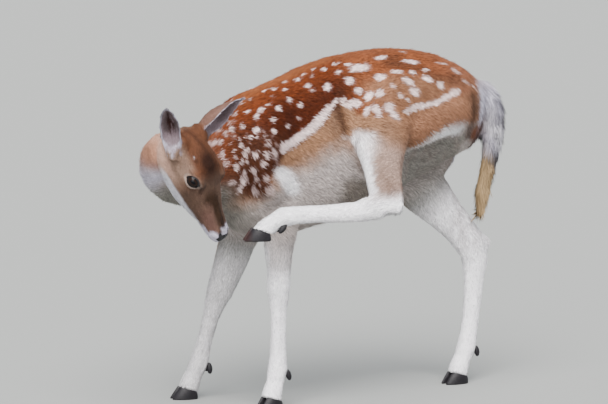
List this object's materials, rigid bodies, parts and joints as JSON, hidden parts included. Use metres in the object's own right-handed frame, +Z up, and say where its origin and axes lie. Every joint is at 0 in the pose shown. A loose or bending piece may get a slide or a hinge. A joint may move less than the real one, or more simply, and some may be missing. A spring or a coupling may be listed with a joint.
{
  "type": "fallow deer",
  "caption": "Still, life-size fallow deer doe in a spotted summer coat, standing with one hind leg raised forward and the head turned back towards its hoof.",
  "frame": {"origin": "on the floor, under the middle of the whole animal's bounding box", "axes": "+Z up, the animal faces -X, its left side and turned head are towards -Y"},
  "size_m": [0.9794, 0.463, 0.7805],
  "materials": {
    "coat": "short fur, matt",
    "pale_coat": "short fur, matt",
    "ear_skin": "thinly haired skin, matt",
    "hoof_horn": "worn horn, satin",
    "eye": "wet gloss"
  },
  "bodies": {
    "root": {"trunk": "coat", "neck_base": "coat", "neck_bend": "coat", "head": "coat", "fore_left_forearm": "pale_coat", "fore_left_cannon": "pale_coat", "fore_left_pastern": "pale_coat", "fore_right_forearm": "pale_coat", "fore_right_cannon": "pale_coat", "fore_right_pastern": "pale_coat", "hind_right_shank": "pale_coat", "hind_right_cannon": "pale_coat", "hind_right_pastern": "pale_coat", "hind_left_shank": "pale_coat", "hind_left_cannon": "pale_coat", "hind_left_pastern": "pale_coat", "tail": "pale_coat", "ear_left": "ear_skin", "ear_right": "ear_skin", "eye_left": "eye", "eye_right": "eye", "fore_left_claw_left": "hoof_horn", "fore_left_claw_right": "hoof_horn", "fore_left_dewclaw_left": "hoof_horn", "fore_left_dewclaw_right": "hoof_horn", "fore_right_claw_left": "hoof_horn", "fore_right_claw_right": "hoof_horn", "fore_right_dewclaw_left": "hoof_horn", "fore_right_dewclaw_right": "hoof_horn", "hind_right_claw_left": "hoof_horn", "hind_right_claw_right": "hoof_horn", "hind_right_dewclaw_left": "hoof_horn", "hind_right_dewclaw_right": "hoof_horn", "hind_left_claw_left": "hoof_horn", "hind_left_claw_right": "hoof_horn", "hind_left_dewclaw_left": "hoof_horn", "hind_left_dewclaw_right": "hoof_horn"}
  },
  "joints": []
}
